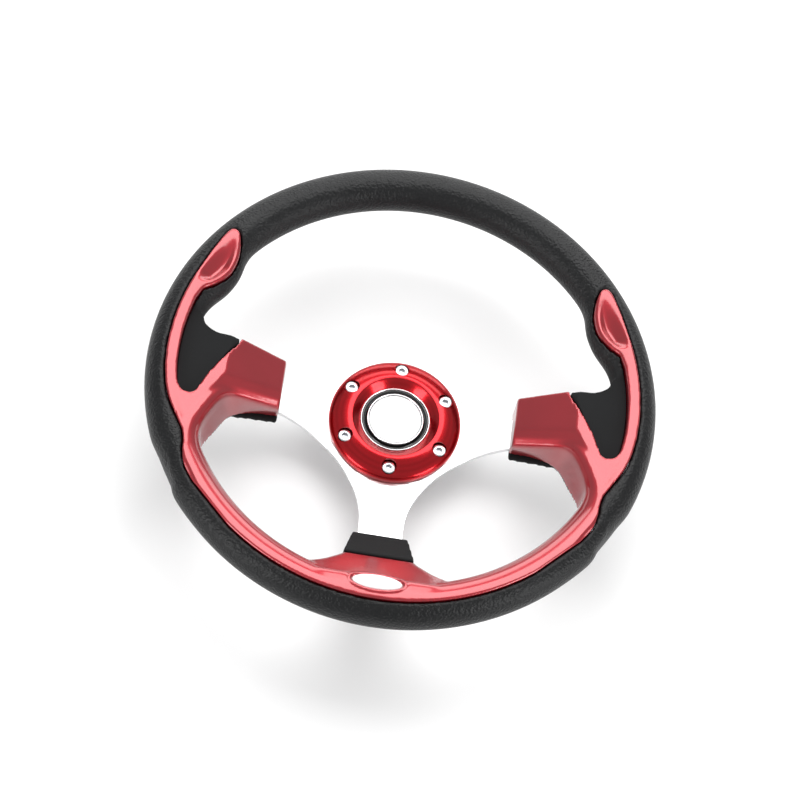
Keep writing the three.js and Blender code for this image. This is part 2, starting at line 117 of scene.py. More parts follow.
def combine(piece, operation, tool):
    """Joins, cuts or intersects a piece with a tool, which is then thrown away."""
    change = piece.modifiers.new(operation, "BOOLEAN")
    change.operation = operation
    change.solver = "EXACT"
    change.object = tool
    settle(piece)
    bpy.data.objects.remove(tool)
    return piece


def copy_of(piece, name):
    """A second object with its own copy of the mesh."""
    made = bpy.data.objects.new(name, piece.data.copy())
    scene.collection.objects.link(made)
    return made


# %% Outlines, sections and turnings
def prism(outline, low, high):
    """A plan outline of (x, y) corners, raised from one height to another."""
    bm = bmesh.new()
    face = bm.faces.new([bm.verts.new((x, y, low)) for x, y in outline])
    raised = bmesh.ops.extrude_face_region(bm, geom=[face])["geom"]
    top = [v for v in raised if isinstance(v, bmesh.types.BMVert)]
    bmesh.ops.translate(bm, vec=(0, 0, high - low), verts=top)
    return bm


def loop_of(bm, points):
    """The edges of one closed loop through the points."""
    corners = [bm.verts.new(p) for p in points]
    return [bm.edges.new((corners[i - 1], corners[i])) for i in range(len(corners))]


def loft(sections):
    """Closed sections, each bridged to the next, with the two ends filled."""
    bm = bmesh.new()
    loops = [loop_of(bm, section) for section in sections]
    for a, b in zip(loops, loops[1:]):
        bmesh.ops.bridge_loops(bm, edges=a + b)
    bmesh.ops.edgeloop_fill(bm, edges=loops[0])
    bmesh.ops.edgeloop_fill(bm, edges=loops[-1])
    return bm


def turning(profile, steps=96):
    """A profile of (radius, height) points, spun round the steering axis."""
    bm = bmesh.new()
    points = [bm.verts.new((r, 0, z)) for r, z in profile]
    edges = [bm.edges.new(pair) for pair in zip(points, points[1:])]
    bmesh.ops.spin(bm, geom=points + edges, cent=(0, 0, 0), axis=(0, 0, 1),
                   angle=2 * math.pi, steps=steps, use_merge=True)
    bmesh.ops.remove_doubles(bm, verts=bm.verts, dist=1e-4)
    bmesh.ops.dissolve_degenerate(bm, edges=bm.edges, dist=1e-4)
    return bm


def sliced(bm, point, normal):
    """Cuts away what lies on the normal's side of a plane, and closes the cut."""
    cut = bmesh.ops.bisect_plane(bm, geom=bm.verts[:] + bm.edges[:] + bm.faces[:],
                                 plane_co=point, plane_no=normal, clear_outer=True)
    rim = [e for e in cut["geom_cut"] if isinstance(e, bmesh.types.BMEdge)]
    bmesh.ops.edgeloop_fill(bm, edges=rim)
    return bm


# %% Curves through points
def arc(r, start, end, steps):
    """Points on a circle round the steering axis, with angles in degrees."""
    turns = [math.radians(start + (end - start) * i / steps) for i in range(steps + 1)]
    return [(r * math.cos(a), r * math.sin(a)) for a in turns]


def curve(stations, steps):
    """Rows of numbers, filled in between with a smooth curve through every row."""
    rows = [stations[0]] + list(stations) + [stations[-1]]
    made = []
    for a, b, c, d in zip(rows, rows[1:], rows[2:], rows[3:]):
        for k in range(steps):
            t = k / steps
            made.append(tuple(
                0.5 * (2 * q + (r - p) * t + (2 * p - 5 * q + 4 * r - s) * t * t
                       + (3 * q - p - 3 * r + s) * t ** 3)
                for p, q, r, s in zip(a, b, c, d)))
    return made + [tuple(stations[-1])]


def flipped(outline):
    """The same outline on the other side of the wheel."""
    return [(-x, y) for x, y in reversed(outline)]


def grown(outline, by):
    """An anticlockwise outline with every corner moved outwards."""
    made = []
    for i, (x, y) in enumerate(outline):
        back, on = Vector(outline[i - 1]), Vector(outline[(i + 1) % len(outline)])
        here = Vector((x, y))
        before, after = (here - back).normalized(), (on - here).normalized()
        out = Vector((before.y + after.y, -before.x - after.x)).normalized()
        reach = by / max(0.5, out.x * before.y - out.y * before.x)
        made.append(tuple(here + out * reach))
    return made


# %% Rounding and finishing
def melted(piece, voxel, passes):
    """One even skin over a piece, with its sharp edges softened."""
    skin = piece.modifiers.new("skin", "REMESH")
    skin.mode = "VOXEL"
    skin.voxel_size = voxel
    soften = piece.modifiers.new("soften", "SMOOTH")
    soften.factor = 0.5
    soften.iterations = passes
    settle(piece)
    return piece


def nudged(piece, move):
    """Moves each point of a mesh to where a function of its place and normal says."""
    spots = [move(v.co.copy(), v.normal.copy()) for v in piece.data.vertices]
    for v, spot in zip(piece.data.vertices, spots):
        v.co = spot
    piece.data.update()
    return piece


def finished(piece, look, body, replaced, smooth_angle=None):
    """Brings a piece to metres, gives it its finish and fixes it to its body."""
    piece.data.transform(Matrix.Scale(MM, 4))
    piece.data.materials.clear()
    piece.data.materials.append(look)
    piece.data.shade_smooth()
    if smooth_angle is not None:
        piece.data.set_sharp_from_angle(angle=math.radians(smooth_angle))
    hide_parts(*replaced)
    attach(piece, body)
    piece.data.calc_loop_triangles()
    print(piece.name, len(piece.data.loop_triangles), "triangles")
    return piece


def smoothstep(start, end, value):
    """0 before the start, 1 after the end, and an even S between them."""
    t = min(1.0, max(0.0, (value - start) / (end - start)))
    return t * t * (3 - 2 * t)


# %% [markdown]
# ## Helpers for finishes
# Every finish is a small node tree on the piece's own coordinates. Colours are written as they look
# on a screen and are turned to linear light here. Pattern sizes are given in millimetres.

# %% Colours and nodes
def linear(code):
    """A screen colour such as B5122A, as linear light."""
    parts = [int(code[i:i + 2], 16) / 255 for i in (0, 2, 4)]
    return [c / 12.92 if c < 0.04045 else ((c + 0.055) / 1.055) ** 2.4 for c in parts] + [1]


def add(tree, kind, settings=None, links=None):
    """A node with its settings and its incoming links."""
    made = tree.nodes.new(kind)
    for name, value in (settings or {}).items():
        if isinstance(name, int) or name in made.inputs:
            made.inputs[name].default_value = value
        else:
            setattr(made, name, value)
    for name, source in (links or {}).items():
        tree.links.new(source, made.inputs[name])
    return made


def per_mm(size):
    """The scale of a pattern whose cells are that many millimetres wide."""
    return 1 / (size * MM)


def finish(name, colour, roughness, **more):
    """A material with its shader set; returns it with its tree, shader and coordinates."""
    made = bpy.data.materials.new(name)
    made.use_nodes = True
    tree = made.node_tree
    shader = tree.nodes["Principled BSDF"]
    shader.inputs["Base Color"].default_value = linear(colour)
    shader.inputs["Roughness"].default_value = roughness
    for key, value in more.items():
        shader.inputs[key.replace("_", " ").title().replace("Ior", "IOR")].default_value = value
    place = add(tree, "ShaderNodeTexCoord").outputs["Object"]
    return made, tree, shader, place


# %% [markdown]
# ## Finish: candy red lacquer
# The trim is a moulding sprayed with a metallic red base and a clear coat. The fine flakes in the
# base spread its highlight to a soft pink, and the clear coat adds a sharp one on top. The coat's
# IOR of 1.7 is above lacquer's usual 1.5, matched to how clearly it mirrors.

# %% Candy red lacquer
candy_red, tree, shader, place = finish(
    "candy_red_lacquer", "A20E20", 0.34, metallic=0.85, coat_weight=1.0, coat_roughness=0.14,
    coat_ior=1.7)
flakes = add(tree, "ShaderNodeTexVoronoi", {"Scale": per_mm(0.5)}, {"Vector": place})
shade = add(tree, "ShaderNodeMapRange", {"To Min": 0.36, "To Max": 0.46},
            {"Value": flakes.outputs["Distance"]})
tree.links.new(shade.outputs[0], shader.inputs["Roughness"])
drift = add(tree, "ShaderNodeTexNoise", {"Scale": per_mm(30), "Detail": 2.0}, {"Vector": place})
tint = add(tree, "ShaderNodeMix", {"data_type": "RGBA", 6: linear("980C1C"), 7: linear("AA1224")},
           {0: drift.outputs["Fac"]})
tree.links.new(tint.outputs[2], shader.inputs["Base Color"])
peel = add(tree, "ShaderNodeTexNoise", {"Scale": per_mm(2.5), "Detail": 1.0}, {"Vector": place})
skin = add(tree, "ShaderNodeBump", {"Strength": 0.05, "Distance": 0.0002},
           {"Height": peel.outputs["Fac"]})
tree.links.new(skin.outputs[0], shader.inputs["Coat Normal"])
print(candy_red.name)

# %% [markdown]
# ## Finish: grained foam
# The grip is self-skinning polyurethane foam, black right through. The mould gives it a leather
# grain of about a millimetre, which glitters where light grazes it. The thumb pockets and the
# collar were left smooth in the mould, so the grain fades out there.

# %% Grained foam
foam, tree, shader, place = finish("grained_black_foam", "0B0C0D", 0.5, specular_ior_level=0.3)
grain = add(tree, "ShaderNodeTexVoronoi", {"Scale": per_mm(1.3), "feature": "SMOOTH_F1"},
            {"Vector": place})
creases = add(tree, "ShaderNodeTexNoise", {"Scale": per_mm(2.0), "Detail": 4.0}, {"Vector": place})
height = add(tree, "ShaderNodeMath", {"operation": "ADD"},
             {0: grain.outputs["Distance"], 1: creases.outputs["Fac"]})
axes = add(tree, "ShaderNodeSeparateXYZ", None, {"Vector": place})
square_x = add(tree, "ShaderNodeMath", {"operation": "MULTIPLY"}, {0: axes.outputs[0], 1: axes.outputs[0]})
square_y = add(tree, "ShaderNodeMath", {"operation": "MULTIPLY"}, {0: axes.outputs[1], 1: axes.outputs[1]})
square_r = add(tree, "ShaderNodeMath", {"operation": "ADD"}, {0: square_x.outputs[0], 1: square_y.outputs[0]})
reach = add(tree, "ShaderNodeMath", {"operation": "SQRT"}, {0: square_r.outputs[0]})
outer = add(tree, "ShaderNodeMapRange", {"From Min": 0.1395, "From Max": 0.1425},
            {"Value": reach.outputs[0]})
above = add(tree, "ShaderNodeMapRange", {"From Min": 0.028, "From Max": 0.040},
            {"Value": axes.outputs[1]})
collar = add(tree, "ShaderNodeMapRange", {"From Min": 0.112, "From Max": 0.116},
             {"Value": reach.outputs[0]})
either = add(tree, "ShaderNodeMath", {"operation": "MAXIMUM"}, {0: outer.outputs[0], 1: above.outputs[0]})
grained = add(tree, "ShaderNodeMath", {"operation": "MULTIPLY"}, {0: either.outputs[0], 1: collar.outputs[0]})
depth = add(tree, "ShaderNodeMapRange", {"To Min": 0.06, "To Max": 0.8}, {"Value": grained.outputs[0]})
relief = add(tree, "ShaderNodeBump", {"Distance": 0.0005},
             {"Height": height.outputs[0], "Strength": depth.outputs[0]})
tree.links.new(relief.outputs[0], shader.inputs["Normal"])
gloss = add(tree, "ShaderNodeMapRange", {"To Min": 0.8, "To Max": 0.42}, {"Value": grained.outputs[0]})
tree.links.new(gloss.outputs[0], shader.inputs["Roughness"])
worn = add(tree, "ShaderNodeTexNoise", {"Scale": per_mm(24), "Detail": 3.0}, {"Vector": place})
dust = add(tree, "ShaderNodeMix", {"data_type": "RGBA", 6: linear("08090A"), 7: linear("101113")},
           {0: worn.outputs["Fac"]})
tree.links.new(dust.outputs[2], shader.inputs["Base Color"])
print(foam.name)

# %% [markdown]
# ## Finish: bare brushed aluminium
# The spoke plate is cut from aluminium sheet, brushed along its length and left bright. The brushing
# is a noise with streaks about 17 mm long along X and 0.4 mm across. It changes the roughness a
# little and adds a very faint relief.

# %% Brushed aluminium
aluminium, tree, shader, place = finish(
    "brushed_aluminium", "F3F4F5", 0.3, metallic=1.0, anisotropic=0.35)
stretch = add(tree, "ShaderNodeMapping", {"Scale": (20, 900, 900)}, {"Vector": place})
brushing = add(tree, "ShaderNodeTexNoise", {"Scale": 3.0, "Detail": 4.0}, {"Vector": stretch.outputs[0]})
sheen = add(tree, "ShaderNodeMapRange", {"To Min": 0.24, "To Max": 0.4}, {"Value": brushing.outputs["Fac"]})
tree.links.new(sheen.outputs[0], shader.inputs["Roughness"])
scratch = add(tree, "ShaderNodeBump", {"Strength": 0.04, "Distance": 0.0001},
              {"Height": brushing.outputs["Fac"]})
tree.links.new(scratch.outputs[0], shader.inputs["Normal"])
print(aluminium.name)

# %% [markdown]
# ## Finish: red anodised turned aluminium
# The hub ring was turned on a lathe, so fine rings run round the steering axis, and then anodised
# and dyed red. The metal keeps its shine under the dye.

# %% Anodised aluminium
anodised, tree, shader, place = finish(
    "red_anodised_aluminium", "C3141F", 0.24, metallic=1.0, coat_weight=0.5, coat_roughness=0.1)
rings = add(tree, "ShaderNodeTexWave",
            {"wave_type": "RINGS", "rings_direction": "Z", "Scale": per_mm(0.5) / 20,
             "Distortion": 0.4, "Detail": 1.0}, {"Vector": place})
lathe = add(tree, "ShaderNodeBump", {"Strength": 0.04, "Distance": 0.0001},
            {"Height": rings.outputs["Fac"]})
tree.links.new(lathe.outputs[0], shader.inputs["Normal"])
dye = add(tree, "ShaderNodeMix", {"data_type": "RGBA", 6: linear("B2101A"), 7: linear("BE1520")},
          {0: rings.outputs["Fac"]})
tree.links.new(dye.outputs[2], shader.inputs["Base Color"])
print(anodised.name)


# %% [markdown]
# ## The small parts' finishes
# Chrome, steel, brass and the three plastics differ only in colour, metal and gloss, with a faint
# cloudiness in the gloss that real handling and plating leave. One function makes them all.

# %% Small parts' finishes
def clouded(name, colours, roughness, spread, cell, bump, **more):
    """A finish whose colour and gloss drift between two values over cells of that many mm."""
    made, tree, shader, place = finish(name, colours[0], roughness, **more)
    cloud = add(tree, "ShaderNodeTexNoise", {"Scale": per_mm(cell), "Detail": 3.0}, {"Vector": place})
    colour = add(tree, "ShaderNodeMix",
                 {"data_type": "RGBA", 6: linear(colours[0]), 7: linear(colours[1])},
                 {0: cloud.outputs["Fac"]})
    tree.links.new(colour.outputs[2], shader.inputs["Base Color"])
    gloss = add(tree, "ShaderNodeMapRange", {"To Min": roughness, "To Max": roughness + spread},
                {"Value": cloud.outputs["Fac"]})
    tree.links.new(gloss.outputs[0], shader.inputs["Roughness"])
    relief = add(tree, "ShaderNodeBump", {"Strength": bump, "Distance": 0.0001},
                 {"Height": cloud.outputs["Fac"]})
    tree.links.new(relief.outputs[0], shader.inputs["Normal"])
    return made


chrome = clouded("bright_chrome", ("E4E5E8", "EDEEF0"), 0.05, 0.06, 6, 0.02, metallic=1.0)
zinc = clouded("zinc_plated_steel", ("C9CBCF", "DADCE0"), 0.24, 0.16, 1.5, 0.1, metallic=1.0)
steel = clouded("drawn_steel_wire", ("A9ACB0", "C0C3C7"), 0.32, 0.2, 1.0, 0.1, metallic=1.0)
brass = clouded("contact_brass", ("B98F3E", "CDA75A"), 0.28, 0.2, 2.0, 0.06, metallic=1.0)
gloss_black = clouded("polished_black_abs", ("0A0A0B", "111112"), 0.12, 0.08, 8, 0.02,
                      coat_weight=0.4, coat_roughness=0.05)
dark_nylon = clouded("moulded_dark_nylon", ("1B1B1C", "262627"), 0.5, 0.15, 0.8, 0.2)
gloss_white = clouded("polished_white_abs", ("F6F6F6", "FBFBFB"), 0.14, 0.06, 10, 0.01,
                      coat_weight=0.6, coat_roughness=0.05)
print(len(bpy.data.materials), "finishes")

# %% [markdown]
# ## The body under the rim
# The foam and the trim share one flowing body: a round tube, a cover that climbs each side spoke and
# a gusset over the lower one. It is built once, a little proud for the trim and at size for the foam,
# and the parting line then says which of the two each point belongs to.

# %% The round tube, with the thumb bumps and the finger hollows
RIM_R = 146.5
RIM_Z = 50
TUBE_R = 13.5
TUBE_STEPS = 240
SECTION_STEPS = 48
BUMP, BUMP_AT, BUMP_SPREAD = 6.9, 25.3, 7.8


def tube_point(spot, _):
    """Swells the inner side at the thumbs and hollows the outer side below them."""
    reach = math.hypot(spot.x, spot.y)
    angle = math.degrees(math.atan2(spot.y, abs(spot.x)))
    side = (RIM_R - reach) / TUBE_R
    inward, outward = max(0.0, side), max(0.0, -side)
    swell = BUMP * inward * math.exp(-(abs(angle - BUMP_AT) / BUMP_SPREAD) ** 2.6)
    hollow = smoothstep(-22, -28, angle) * (1 - smoothstep(-34, -37, angle))
    shoulder = smoothstep(-34, -37.5, angle) * (1 - smoothstep(-38, -46, angle))
    move = swell + outward * (1.6 * hollow - 0.4 * shoulder)
    scale = 1 - move / reach
    return Vector((spot.x * scale, spot.y * scale, spot.z))


def rim_tube(proud):
    r = TUBE_R + proud
    section = [(RIM_R + x, RIM_Z + y) for x, y in arc(r, 0, 360, SECTION_STEPS)]
    return nudged(workpiece("rim_tube", turning(section, TUBE_STEPS)), tube_point)


print("tube", RIM_R, TUBE_R)

# %% The spoke cover: a bead that leaves the rim, turns the corner and runs along the spoke
PLATE_BEND = 46
PLATE_SLOPE = 0.37
COVER_IN, COVER_OUT = 74, 110
COVER_LOW, COVER_HIGH = 34.5, 59
CREST_AT, CREST_Z = 142, 64
COVER_RISE = (COVER_HIGH - COVER_LOW) / (COVER_OUT - COVER_IN)
TRIM_PROUD = 0.8


def plate_z(reach):
    """Height of the spoke plate's rear face that far up an arm."""
    return max(0.0, PLATE_SLOPE * (reach - PLATE_BEND))


# edge x, edge y, way out x, way out y, bead radius, top, how far the foot is drawn in, foot height
COVER_BEAD = [
    (66, -14.8, -0.21, -0.98, 3.8, 25.6, 6.0, 6.4),
    (90, -19.8, -0.21, -0.98, 4.0, 42.4, 3.6, 15.3),
    (100, -22.0, -0.24, -0.97, 4.4, 49.6, 0.8, 19.0),
    (105, -24.0, -0.45, -0.89, 5.0, 54.0, -1.4, 20.8),
    (109, -27.6, -0.71, -0.70, 6.0, 57.8, -3.4, 22.6),
    (112.4, -33.2, -0.88, -0.47, 7.0, 60.2, -4.4, 25.0),
    (115.3, -39.6, -0.93, -0.36, 7.6, 61.4, -5.0, 28.5),
    (117.8, -46.4, -0.97, -0.24, 8.4, 62.2, -4.6, 32.5),
    (119.0, -53.2, -1.00, -0.00, 10.0, 63.0, -3.6, 36.5),
    (117.4, -60.6, -0.889, 0.457, 12.6, 63.8, 0.0, 39.5),
    (113.4, -69.4, -0.852, 0.523, 13.2, 63.8, 4.0, 40.0),
    (107.5, -79.4, -0.804, 0.594, 12.6, 63.2, 4.0, 41.0),
]
BEAD_STEPS = 10
STATION_STEPS, FREE_ROWS = 4, 9
CHAMFER_AT = Vector((76, -6.4, COVER_LOW + 2 * COVER_RISE))
chamfer_run = Vector((29, -5.6, 29 * COVER_RISE))
chamfer_fall = Vector((-0.19, -1, -0.19 * COVER_RISE - 0.36))
CHAMFER_WAY = chamfer_fall.cross(chamfer_run).normalized()


def bead_section(station, proud):
    """Over the top of the bead, down the drawn-in wall, and back inside."""
    ex, ey, ox, oy, r, top, draw, foot = station
    out = Vector((ox, oy, 0)).normalized()
    edge = Vector((ex, ey, 0)) + out * (proud - TRIM_PROUD)
    drop = TRIM_PROUD - proud
    centre = edge - out * r
    middle = top - drop - r
    points = []
    for i in range(BEAD_STEPS + 1):
        a = math.pi / 2 * (1 - i / BEAD_STEPS)
        points.append(centre + out * r * math.cos(a) + Vector((0, 0, middle + r * math.sin(a))))
    for t in (0.25, 0.5, 0.75, 1.0):
        points.append(edge - out * draw * t ** 1.3 + Vector((0, 0, middle + (foot - middle) * t)))
    inside = edge - out * (draw + r + 6)
    points.append(inside + Vector((0, 0, foot)))
    points.append(inside + Vector((0, 0, top - drop - 0.4 * r)))
    points.append(centre - out * 0.6 * r + Vector((0, 0, top - drop - 0.15 * r)))
    return points


def cover(proud):
    """The bead with the flat block beside it, on the right-hand side."""
    stations = curve(COVER_BEAD, STATION_STEPS)
    bead = workpiece("bead", loft([bead_section(s, proud) for s in stations]))
    crown = [(s[0] - s[2] * (s[4] - 0.4), s[1] - s[3] * (s[4] - 0.4))
             for s in stations[:FREE_ROWS * STATION_STEPS]]
    edge = 15.5 + proud - TRIM_PROUD
    outline = crown + [(139.5, -60), *arc(150.5, -14, 8, 8), (149, 20), (138, 33), (129.3, 25),
                       (128, 20), (123, 16.5), (118, edge), (66, edge)]
    drop = TRIM_PROUD - proud
    block = prism(outline, -20, 90)
    sliced(block, (COVER_IN, 0, COVER_LOW - drop), (-COVER_RISE, 0, 1))
    crest_rise = (CREST_Z - COVER_HIGH) / (CREST_AT - COVER_OUT)
    sliced(block, (COVER_OUT, 0, COVER_HIGH - drop), (-crest_rise, 0, 1))
    sliced(block, CHAMFER_AT - Vector((0, 0, drop)), CHAMFER_WAY)
    sliced(block, (CREST_AT, 0, CREST_Z - drop), (0, 0, 1))
    sliced(block, (COVER_IN, 0, plate_z(COVER_IN) - 1), (PLATE_SLOPE, 0, -1))
    return combine(workpiece("block", block), "UNION", bead)


print("cover bead", len(curve(COVER_BEAD, STATION_STEPS)), "sections")

# %% [markdown]
# ## Where the trim ends
# The trim's plan outline runs from 6 o'clock along the crown, round the notch below each cover, up
# the side strip to the teardrop's tip, and back down round the thumb pocket. Below it a parting
# surface divides trim from foam.

# %% The trim's outline
TRIM_R = 148.2
STRIP_R = 140.2
NOTCH = [(117.6, -91), (124.2, -81.5), (127.0, -72), (128, -63.5), (129.6, -57.5), (135, -48.5),
         (140.8, -38.5), (144.6, -28)]
TEARDROP_OUT = [(135.2, 60.2), (131, 70.5), (127.5, 78), (124.5, 84.2), (122.5, 87)]
TEARDROP_IN = [(119.5, 88), (117, 86.5), (115.2, 83), (114, 75), (114.4, 67), (117.6, 57),
               (124.5, 48.5), (132.5, 42)]
POCKET_END = [(138, -24), (136, -28.5), (132.5, -31), (129, -31), (126, -29), (124.3, -25)]
COVER_EDGE = [(121.2, -17.5), (117.7, -10.5), (108.4, 5), (104.6, 11)]


def trim_plan():
    """The trim's outline, right half and its mirror image."""
    right = [
        *arc(TRIM_R, -90, -51, 26), *curve(NOTCH[:5], 3), *curve(NOTCH[5:], 3),
        *arc(TRIM_R - 0.4, -6, 23, 20), *curve(TEARDROP_OUT, 3), *curve(TEARDROP_IN, 4),
        *arc(STRIP_R, 14, -6, 12), *curve(POCKET_END, 3), *curve(COVER_EDGE, 2),
        (104.2, 15.5), (104.2, 30), (COVER_IN, 30), (COVER_IN, -30), (95, -34), (104, -42),
        *arc(118, -27, -64, 10), (24.5, -106), (24.2, -110.5),
    ]
    return right[1:] + flipped(right)


print("trim outline", len(trim_plan()), "corners")


# %% The parting surface
def parting_z(x, y):
    """Height under which the body is foam."""
    side = abs(x)
    z = 45 + 9 * smoothstep(-36, -20, y)
    if -62 < y < 30 and side < 124 and (y > -36 or side > 95):
        slope = plate_z(side) + 0.2 if side < 105 else 21.8 + (side - 105) * 23.2 / 17
        z = min(z, slope)
    if side < 52 and y < 0:
        z = min(z, max(33.0, 34 + (-y - 110.5) * 11 / 17.5))
    return z


def under_parting(lower):
    """Everything under the parting surface, as a block with that surface as its top."""
    bm = bmesh.new()
    bmesh.ops.create_grid(bm, x_segments=84, y_segments=84, size=168)
    for v in bm.verts:
        v.co.z = parting_z(v.co.x, v.co.y) - lower
    skirt = bmesh.ops.extrude_face_region(bm, geom=bm.faces[:])["geom"]
    for v in skirt:
        if isinstance(v, bmesh.types.BMVert):
            v.co.z = -40
    return workpiece("under", bm)


def trim_space(grow):
    """The space that belongs to the trim, grown by a small gap to cut the foam."""
    column = workpiece("trim_space", prism(grown(trim_plan(), grow), 0, 90))
    return combine(column, "DIFFERENCE", under_parting(grow))


# %% The badge's recess and the lower gusset
BODY_VOXEL = 0.9
BADGE_Y = -137
RECESS_HALF, RECESS_RISE = 15.5, 5
RECESS_Z = 61.0


def ellipse(grow, steps=64):
    turns = [2 * math.pi * i / steps for i in range(steps)]
    return [((RECESS_HALF + grow) * math.cos(a), BADGE_Y + (RECESS_RISE + grow) * math.sin(a))
            for a in turns]


GUSSET_SIDE = [(22, -109), (22.4, -111.5), (27, -116), (31.5, -120), (37, -123.5), (45, -127),
               (56, -130)]


def gusset(proud):
    """A slope from the collar up to the rim's crown."""
    right = curve(GUSSET_SIDE, 3) + [(60, -134)] + arc(147.5, -66, -90, 8)
    half = grown([(x, y) for x, y in reversed(right)], proud - TRIM_PROUD)
    drop = TRIM_PROUD - proud
    bm = prism(half + [(-x, y) for x, y in reversed(half)][1:], 20, 90)
    sliced(bm, (0, -110.5, 39 - drop), (0, 1.0, 1.0))
    sliced(bm, (0, -134, 62.6 - drop), (0, 0.22, 1))
    sliced(bm, (0, -143, 64.3 - drop), (0, 0, 1))
    sliced(bm, (0, -110.5, 27), (0, -0.37, -1))
    return workpiece("gusset", bm)


def rim_body(proud):
    """Tube, covers and gusset under one even skin."""
    right = cover(proud)
    left = copy_of(right, "left_cover")
    left.data.transform(Matrix.Scale(-1, 4, (1, 0, 0)))
    left.data.flip_normals()
    bm = bmesh.new()
    for part in (rim_tube(proud), right, left, gusset(proud)):
        bm.from_mesh(part.data)
        bpy.data.objects.remove(part)
    return melted(workpiece("rim_body", bm), BODY_VOXEL, 4)


# %% [markdown]
# ## The trim
# It is one hard moulding in candy red lacquer. The body is cut to the trim's space, slotted for the
# spokes and sunk for the oval badge. A fine even skin with softened edges then gives it the
# rounded edges of a sprayed moulding, and the small forms are pressed in last.

# %% Cut the trim from its body
trim = rim_body(TRIM_PROUD)
trim.name = "trim_inlay_lacquered"
combine(trim, "INTERSECT", trim_space(0))


def spoke_slots(grow):
    """Boxes round the three arms, to leave room for the plate."""
    made = []
    for turn, half, start, end in ((0, 11.2, 60, 128), (180, 11.2, 60, 128), (-90, 14, 60, 122)):
        profile = [(start, plate_z(start) - 6), (end, plate_z(end) - 6),
                   (end, plate_z(end) + 3.2 + grow), (start, plate_z(start) + 3.2 + grow)]
        bm = loft([[(x, side * (half + grow), z) for x, z in profile] for side in (-1, 1)])
        bmesh.ops.rotate(bm, verts=bm.verts, cent=(0, 0, 0),
                         matrix=Matrix.Rotation(math.radians(turn), 3, "Z"))
        made.append(workpiece("slot", bm))
    return made


for slot in spoke_slots(0.4):
    combine(trim, "DIFFERENCE", slot)
combine(trim, "DIFFERENCE", workpiece("recess", prism(ellipse(0), RECESS_Z, 90)))
print("trim", len(trim.data.polygons), "faces before its skin")

# %% Give the trim its skin
TRIM_VOXEL = 0.9
melted(trim, TRIM_VOXEL, 6)
print("trim", len(trim.data.polygons), "faces")

# %% Press in the teardrop scoops, the recess's lip and the facet beside the notch
teardrop_axis = (Vector((134, 44)) - Vector((120.5, 88))).normalized()
FACET = [(129.6, -60), (128, -67), (125, -76), (120.6, -83), (117, -89), (113.4, -95.2)]


def nearest(path, spot):
    """Distance from a point to a line through points, signed: positive on its right."""
    best = None
    for a, b in zip(path, path[1:]):
        along = b - a
        t = max(0.0, min(1.0, (spot - a).dot(along) / along.length_squared))
        gap = spot - (a + along * t)
        side = along.x * gap.y - along.y * gap.x
        if best is None or gap.length < abs(best):
            best = math.copysign(gap.length, -side)
    return best


inner_edge = [Vector(p) for p in curve(TEARDROP_IN, 3)]
outer_edge = [Vector(p) for p in reversed(curve([(142.3, 40)] + TEARDROP_OUT, 3))]
facet_edge = [Vector(p) for p in curve(FACET, 3)]


def trim_detail(spot, normal):
    if normal.z < 0.15 or spot.z < 52:
        return spot
    plan = Vector((abs(spot.x), spot.y))
    if plan.y > 38 and plan.x > 108:
        along = (plan - Vector((120.5, 88))).dot(teardrop_axis)
        from_in = abs(nearest(inner_edge, plan)) - 1.7
        from_out = abs(nearest(outer_edge, plan))
        if from_in > 0:
            share = from_in / (from_in + from_out)
            deep = 4.4 * smoothstep(1, 30, along) * (1 - smoothstep(35, 45, along))
            wall = smoothstep(0, 0.34, share) * (1 - smoothstep(0.34, 1.05, share))
            spot.z -= deep * wall
    lip = math.hypot(plan.x / (RECESS_HALF + 1.3), (plan.y - BADGE_Y) / (RECESS_RISE + 1.3))
    spot.z += 0.7 * math.exp(-((lip - 1) / 0.09) ** 2)
    if -98 < plan.y < -58 and plan.x > 108:
        beyond = -nearest(facet_edge, plan)
        ends = smoothstep(-59, -64, plan.y) * (1 - smoothstep(-91, -96, plan.y))
        level = smoothstep(-0.2, 0.8, beyond) * ends
        spot.z += (min(spot.z, 63.4) - spot.z) * level
    return spot


nudged(trim, trim_detail)
finished(trim, candy_red, "wheel", ["trim_inlay"])

# %% [markdown]
# ## The badge
# A blank oval badge of moulded white plastic is glued into the recess at 6 o'clock. It could be a
# scaled cylinder, but an oval outline raised and then inset in small steps gives its edge the soft
# round that catches a thin line of light.

# %% Oval badge
badge_low, badge_high = (corner.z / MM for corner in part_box("oval_badge"))
badge_bm = prism(ellipse(-0.4, 96), badge_low, badge_high - 0.4)
badge_top = [max(badge_bm.faces, key=lambda f: f.calc_center_median().z)]
for inward, up in ((0.12, 0.2), (0.2, 0.12), (0.5, 0.08)):
    bmesh.ops.inset_region(badge_bm, faces=badge_top, thickness=inward, depth=up)
badge = workpiece("badge_moulded", badge_bm)
finished(badge, gloss_white, "wheel", ["oval_badge"], smooth_angle=50)
print("badge", len(badge.data.polygons), "faces")

# %% [markdown]
# ## The foam grip
# The same body at its own size, less the trim's space and a small gap, is the foam. A collar is added
# at the lower spoke and a sloping back behind each arm, which hides the rivets and has holes for
# driving the cover screws. The thumb pockets are pressed flat afterwards.

# %% Cut the grip from its body
grip = rim_body(0)
grip.name = "rim_grip_foam"
combine(grip, "DIFFERENCE", trim_space(0.45))
COLLAR = [(88, 17.3), (110.1, 22)]


# %% The collar, and the foam behind each arm
def collar():
    """The wedge over the foot of the lower spoke, with a rounded top."""
    (near, near_half), (far, far_half) = COLLAR
    outline = [(-near_half, -near), (-far_half, -far), (far_half, -far), (near_half, -near)]
    bm = prism(outline, 0, 60)
    sliced(bm, (0, -near, 21.5), (0, 18 / 22, 1))
    sliced(bm, (0, -near, plate_z(near) - 3), (0, -PLATE_SLOPE, -1))
    return workpiece("collar", bm)


